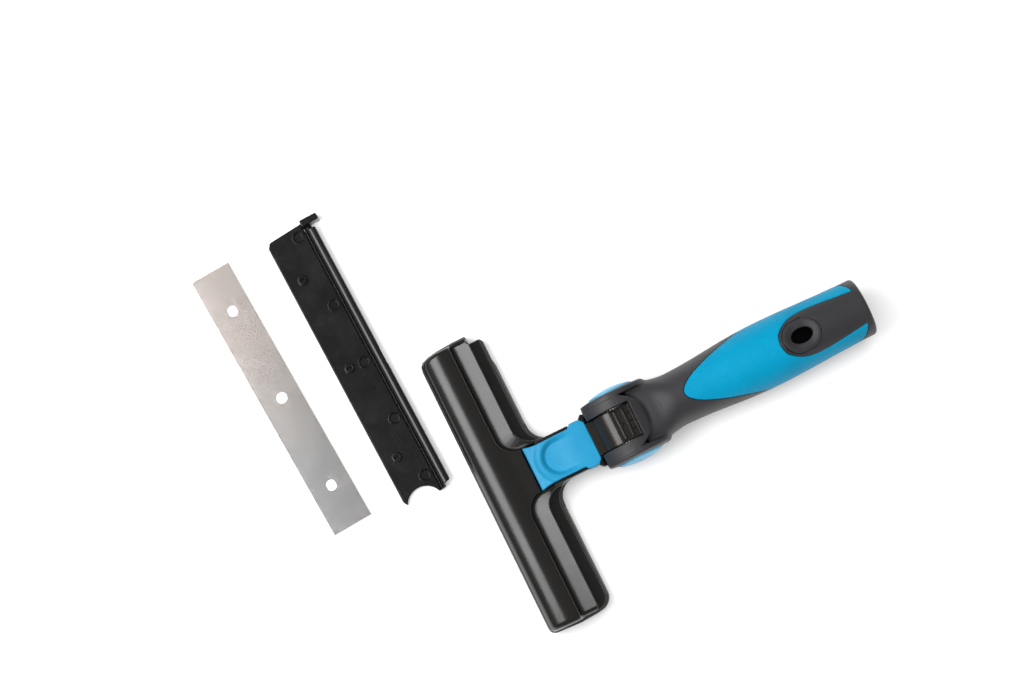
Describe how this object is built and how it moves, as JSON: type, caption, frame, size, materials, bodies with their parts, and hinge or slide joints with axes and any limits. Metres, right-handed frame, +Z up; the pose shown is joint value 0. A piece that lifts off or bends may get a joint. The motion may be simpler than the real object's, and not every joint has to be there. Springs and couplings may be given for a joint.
{
  "type": "blade scraper with swivel handle",
  "caption": "Wide blade scraper: T-shaped head on a swivelling two-component handle, shown with its blade carrier and its three-hole blade taken out and laid beside it.",
  "frame": {"origin": "centre of the layout's footprint, on the table it lies on", "axes": "+X from the head towards the handle's open end, +Y along the T-shaped head towards its open end, +Z up from the table"},
  "size_m": [0.3068, 0.2524, 0.0359],
  "materials": {
    "core_plastic": "fine matte moulded texture",
    "grip_rubber": "soft-touch, fine grain",
    "grip_blue": "soft-touch, smooth",
    "inner_plastic": "plain moulded",
    "steel": "turned",
    "button_blue": "satin moulded",
    "gear_metal": "sintered",
    "spring_steel": "drawn wire",
    "gloss_black": "gloss moulded",
    "head_black": "satin-gloss moulded with a fine grain",
    "base_black": "satin moulded",
    "lever_blue": "satin moulded",
    "carrier_black": "satin moulded with fine scratches",
    "blade_steel": "ground, fine grain across the blade"
  },
  "bodies": {
    "handle": {"handle_core": "core_plastic", "grip_skin": "grip_rubber", "grip_inlay": "grip_blue", "hole_collar": "grip_rubber", "pole_sleeve": "inner_plastic", "ear_cap_left": "core_plastic", "ear_cap_right": "core_plastic", "pivot_axle": "steel", "axle_clips": "steel"},
    "head": {"pivot_hub": "gloss_black", "neck_frame": "inner_plastic", "neck_screws": "steel", "head_shell": "head_black", "head_base": "base_black", "head_screws": "steel", "latch_pin": "steel", "latch_spring": "spring_steel", "gear_spring_left": "spring_steel", "gear_spring_right": "spring_steel"},
    "button_left": {"side_button_left": "button_blue"},
    "button_right": {"side_button_right": "button_blue"},
    "gear_left": {"lock_gear_left": "gear_metal"},
    "gear_right": {"lock_gear_right": "gear_metal"},
    "lever": {"latch_lever": "lever_blue"},
    "carrier": {"blade_carrier": "carrier_black"},
    "blade": {"blade": "blade_steel"}
  },
  "joints": [
    {"name": "head_pivot", "type": "hinge", "parent": "handle", "child": "head", "pos_m": [0.0167, -0.04537, 0.018], "axis": [0, 1, 0], "range_deg": [-60, 60]},
    {"name": "button_left_press", "type": "slide", "parent": "handle", "child": "button_left", "axis": [0, -1, 0], "range_m": [0, 0.0029], "stiffness_N_per_m": 500, "springref_m": -0.006},
    {"name": "button_right_press", "type": "slide", "parent": "handle", "child": "button_right", "axis": [0, 1, 0], "range_m": [0, 0.0029], "stiffness_N_per_m": 500, "springref_m": -0.006},
    {"name": "gear_left_slide", "type": "slide", "parent": "head", "child": "gear_left", "axis": [0, -1, 0], "range_m": [0, 0.0029], "deforming": ["gear_spring_left"]},
    {"name": "gear_right_slide", "type": "slide", "parent": "head", "child": "gear_right", "axis": [0, 1, 0], "range_m": [0, 0.0029], "deforming": ["gear_spring_right"]},
    {"name": "latch_press", "type": "hinge", "parent": "head", "child": "lever", "pos_m": [-0.007, -0.04537, 0.0165], "axis": [0, 1, 0], "range_deg": [-3, 0], "stiffness_Nm_per_rad": 0.4, "springref_deg": 5.73, "deforming": ["latch_spring"]},
    {"name": "carrier_lift", "type": "slide", "parent": "handle", "child": "carrier", "axis": [0, 0, 1], "range_m": [0, 0.06]},
    {"name": "blade_lift", "type": "slide", "parent": "handle", "child": "blade", "axis": [0, 0, 1], "range_m": [0, 0.06]}
  ],
  "couplings": [
    {"joint": "gear_left_slide", "follows": "button_left_press", "ratio": 1},
    {"joint": "gear_right_slide", "follows": "button_right_press", "ratio": 1}
  ]
}
